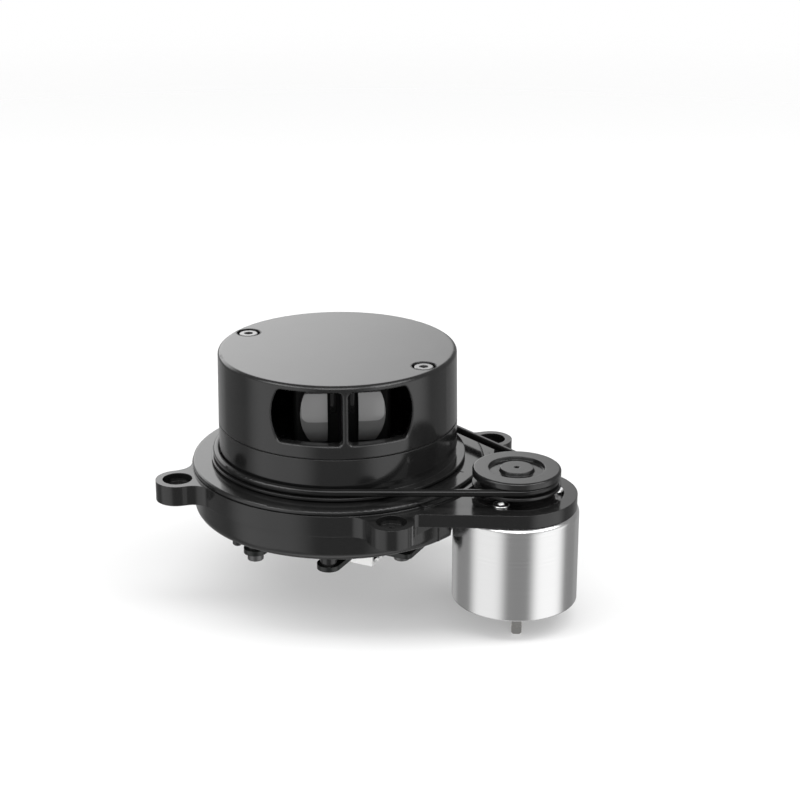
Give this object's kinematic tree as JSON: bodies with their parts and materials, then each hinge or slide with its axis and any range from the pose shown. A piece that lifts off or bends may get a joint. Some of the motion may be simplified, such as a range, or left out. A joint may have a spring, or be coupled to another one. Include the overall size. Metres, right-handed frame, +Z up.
{
  "type": "lidar sensor",
  "caption": "Spinning range-finder head with a split side window, belt-driven by a can motor on an arm of its round four-eared base.",
  "frame": {"origin": "centre of the four mounting holes, on the head's spin axis, in the plane of the ears' underside", "axes": "+Z up along the head's spin axis, +X from the head towards the motor"},
  "size_m": [0.0953, 0.0698, 0.0589],
  "materials": {
    "black_plastic": "satin black moulding with a fine eggshell sheen",
    "gloss_black": "smoother black moulding, polished faces",
    "belt_rubber": "matt black rubber",
    "can_steel": "bright plated steel, drawn, faint turning marks",
    "bearing_steel": "ground bearing steel",
    "screw_steel": "black oxide on steel",
    "plated_screw": "bright zinc plate",
    "board_mask": "black solder mask over glass fibre laminate",
    "socket_nylon": "natural white nylon",
    "tin_plate": "tinned brass",
    "copper_wire": "enamelled copper",
    "magnet_ferrite": "sintered ferrite, dark grey",
    "core_steel": "stacked silicon steel",
    "lens_glass": "dark coated lens, polished",
    "bronze": "sintered bronze",
    "chip_black": "moulded package"
  },
  "bodies": {
    "base": {"base_housing": "black_plastic", "cover_ring": "black_plastic", "bearing_outer_race": "bearing_steel", "bearing_balls": "bearing_steel", "coil_post": "gloss_black", "lower_coil": "copper_wire", "main_board": "board_mask", "board_screws": "plated_screw", "data_connector": "socket_nylon", "connector_pins": "tin_plate", "speed_sensor": "chip_black", "drive_belt": "belt_rubber", "motor_can": "can_steel", "motor_magnets": "magnet_ferrite", "end_bell": "gloss_black", "motor_bushings": "bronze", "motor_terminals": "tin_plate", "motor_brushes": "bronze", "motor_screws": "plated_screw"},
    "head": {"bearing_inner_race": "bearing_steel", "retaining_ring": "bearing_steel", "rotor_base": "black_plastic", "encoder_ring": "gloss_black", "head_cover": "black_plastic", "cover_screws": "screw_steel", "upper_coil": "copper_wire", "rotor_board": "board_mask", "optical_bench": "black_plastic", "emitter_lens": "lens_glass", "receiver_lens": "lens_glass", "laser_module": "tin_plate", "sensor_board": "board_mask", "image_sensor": "chip_black", "bench_screws": "plated_screw"},
    "pulley": {"drive_pulley": "gloss_black", "motor_shaft": "bearing_steel", "armature_core": "core_steel", "armature_windings": "copper_wire", "commutator": "copper_wire"}
  },
  "joints": [
    {"name": "head_spin", "type": "hinge", "parent": "base", "child": "head", "pos_m": [0, 0, 0], "axis": [0, 0, 1], "continuous": true},
    {"name": "pulley_spin", "type": "hinge", "parent": "base", "child": "pulley", "pos_m": [0.0459, 0, 0], "axis": [0, 0, 1], "continuous": true}
  ],
  "couplings": [
    {"joint": "pulley_spin", "follows": "head_spin", "ratio": 3.2289}
  ]
}
